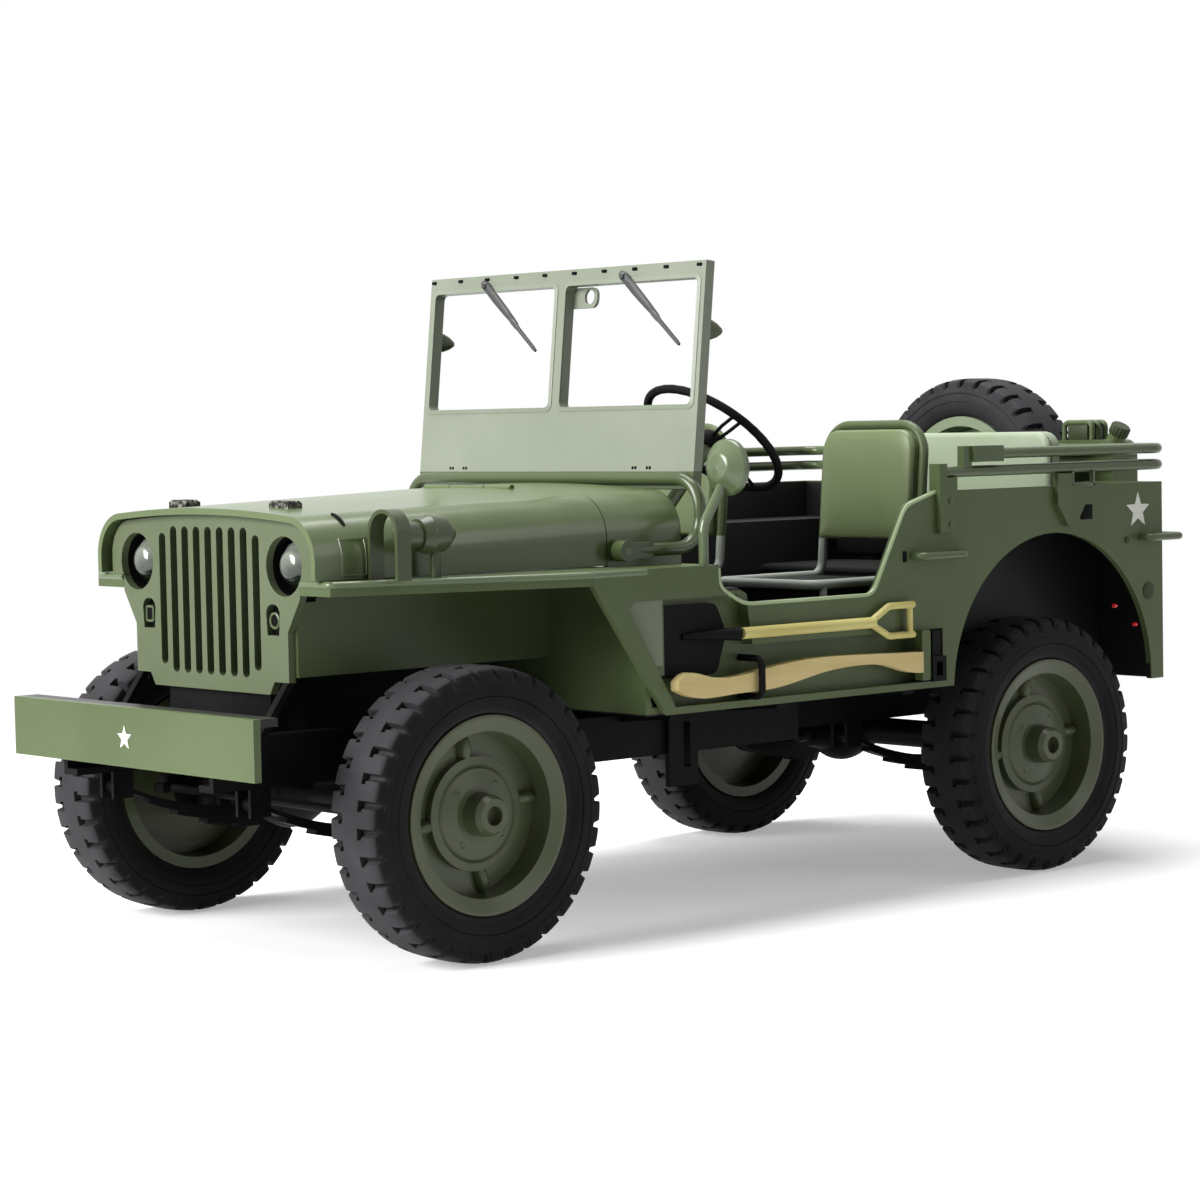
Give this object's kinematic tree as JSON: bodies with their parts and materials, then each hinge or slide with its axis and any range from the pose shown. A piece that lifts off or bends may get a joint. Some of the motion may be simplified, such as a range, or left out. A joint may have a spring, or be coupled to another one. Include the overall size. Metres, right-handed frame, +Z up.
{
  "type": "army 4x4 car scale model",
  "caption": "Open army 4x4 car as a 1:10 toy with slotted grille, folding windscreen, lifting bonnet, steered front wheels and a spare wheel at the tail.",
  "frame": {"origin": "on the floor under the middle of the overall box", "axes": "+Y from the front bumper to the tail, +X to the car's left, +Z up"},
  "size_m": [0.1561, 0.333, 0.1712],
  "materials": {
    "green_plastic": "satin olive green moulded plastic",
    "seat_plastic": "matt olive green padded seats",
    "black_plastic": "matt black moulded plastic",
    "grey_tube": "grey tube",
    "tyre_rubber": "black rubber",
    "chrome_lamp": "silvery lamp dome",
    "red_lamp": "red lamp lens",
    "yellow_wood": "pale yellow handle",
    "tan_wood": "tan handle"
  },
  "bodies": {
    "chassis": {"axe_handle": "tan_wood", "axe_head": "black_plastic", "bench_back": "seat_plastic", "bench_cushion": "seat_plastic", "bench_frame": "grey_tube", "blackout_lamp": "green_plastic", "bow_brackets": "green_plastic", "can_rack": "green_plastic", "cowl": "green_plastic", "engine_block": "black_plastic", "frame": "black_plastic", "front_axle": "black_plastic", "front_bumper": "green_plastic", "fuel_can": "green_plastic", "gearbox": "black_plastic", "grille": "green_plastic", "handles": "green_plastic", "headlamp_buckets": "black_plastic", "headlamps": "chrome_lamp", "lamp_guard": "green_plastic", "marker_lamps": "green_plastic", "mirror": "green_plastic", "propeller_shafts": "black_plastic", "radiator": "black_plastic", "rear_axle": "black_plastic", "rear_bumperettes": "black_plastic", "seat_backs": "seat_plastic", "seat_cushions": "seat_plastic", "seat_frames": "grey_tube", "shovel_blade": "black_plastic", "shovel_handle": "yellow_wood", "spare_carrier": "green_plastic", "spare_rim": "green_plastic", "spare_tyre": "tyre_rubber", "springs_front": "black_plastic", "springs_rear": "black_plastic", "steering_wheel": "black_plastic", "tail_lamps": "red_lamp", "tool_clamps": "black_plastic", "top_bows": "green_plastic", "tow_hook": "black_plastic", "tub": "green_plastic", "wing_left": "green_plastic", "wing_right": "green_plastic"},
    "knuckle_left": {"knuckle_left": "black_plastic"},
    "knuckle_right": {"knuckle_right": "black_plastic"},
    "tie_rod": {"tie_rod": "black_plastic"},
    "windscreen": {"windscreen": "green_plastic", "wipers": "black_plastic"},
    "bonnet": {"bonnet": "green_plastic", "bonnet_rests": "black_plastic"},
    "wheel_front_left": {"tyre_front_left": "tyre_rubber", "rim_front_left": "green_plastic"},
    "wheel_front_right": {"tyre_front_right": "tyre_rubber", "rim_front_right": "green_plastic"},
    "wheel_rear_left": {"tyre_rear_left": "tyre_rubber", "rim_rear_left": "green_plastic"},
    "wheel_rear_right": {"tyre_rear_right": "tyre_rubber", "rim_rear_right": "green_plastic"}
  },
  "joints": [
    {"name": "steer_left", "type": "hinge", "parent": "chassis", "child": "knuckle_left", "pos_m": [0.047, -0.11005, 0.036], "axis": [0, 0, 1], "range_deg": [-25, 25]},
    {"name": "steer_right", "type": "hinge", "parent": "chassis", "child": "knuckle_right", "pos_m": [-0.047, -0.11005, 0.036], "axis": [0, 0, 1], "range_deg": [-25, 25]},
    {"name": "tie_rod_slide", "type": "slide", "parent": "chassis", "child": "tie_rod", "axis": [1, 0, 0], "range_m": [-0.0064, 0.0064]},
    {"name": "roll_front_left", "type": "hinge", "parent": "knuckle_left", "child": "wheel_front_left", "pos_m": [0.0615, -0.11005, 0.036], "axis": [1, 0, 0], "continuous": true},
    {"name": "roll_front_right", "type": "hinge", "parent": "knuckle_right", "child": "wheel_front_right", "pos_m": [-0.0615, -0.11005, 0.036], "axis": [1, 0, 0], "continuous": true},
    {"name": "roll_rear_left", "type": "hinge", "parent": "chassis", "child": "wheel_rear_left", "pos_m": [0.0615, 0.09495, 0.036], "axis": [1, 0, 0], "continuous": true},
    {"name": "roll_rear_right", "type": "hinge", "parent": "chassis", "child": "wheel_rear_right", "pos_m": [-0.0615, 0.09495, 0.036], "axis": [1, 0, 0], "continuous": true},
    {"name": "windscreen_fold", "type": "hinge", "parent": "chassis", "child": "windscreen", "pos_m": [0, -0.05525, 0.097], "axis": [1, 0, 0], "range_deg": [0, 102]},
    {"name": "bonnet_lift", "type": "hinge", "parent": "chassis", "child": "bonnet", "pos_m": [0, -0.0579, 0.11285], "axis": [1, 0, 0], "range_deg": [-60, 0]}
  ],
  "couplings": [
    {"joint": "steer_right", "follows": "steer_left", "ratio": 1},
    {"joint": "tie_rod_slide", "follows": "steer_left", "m_per_rad": 0.01453}
  ]
}
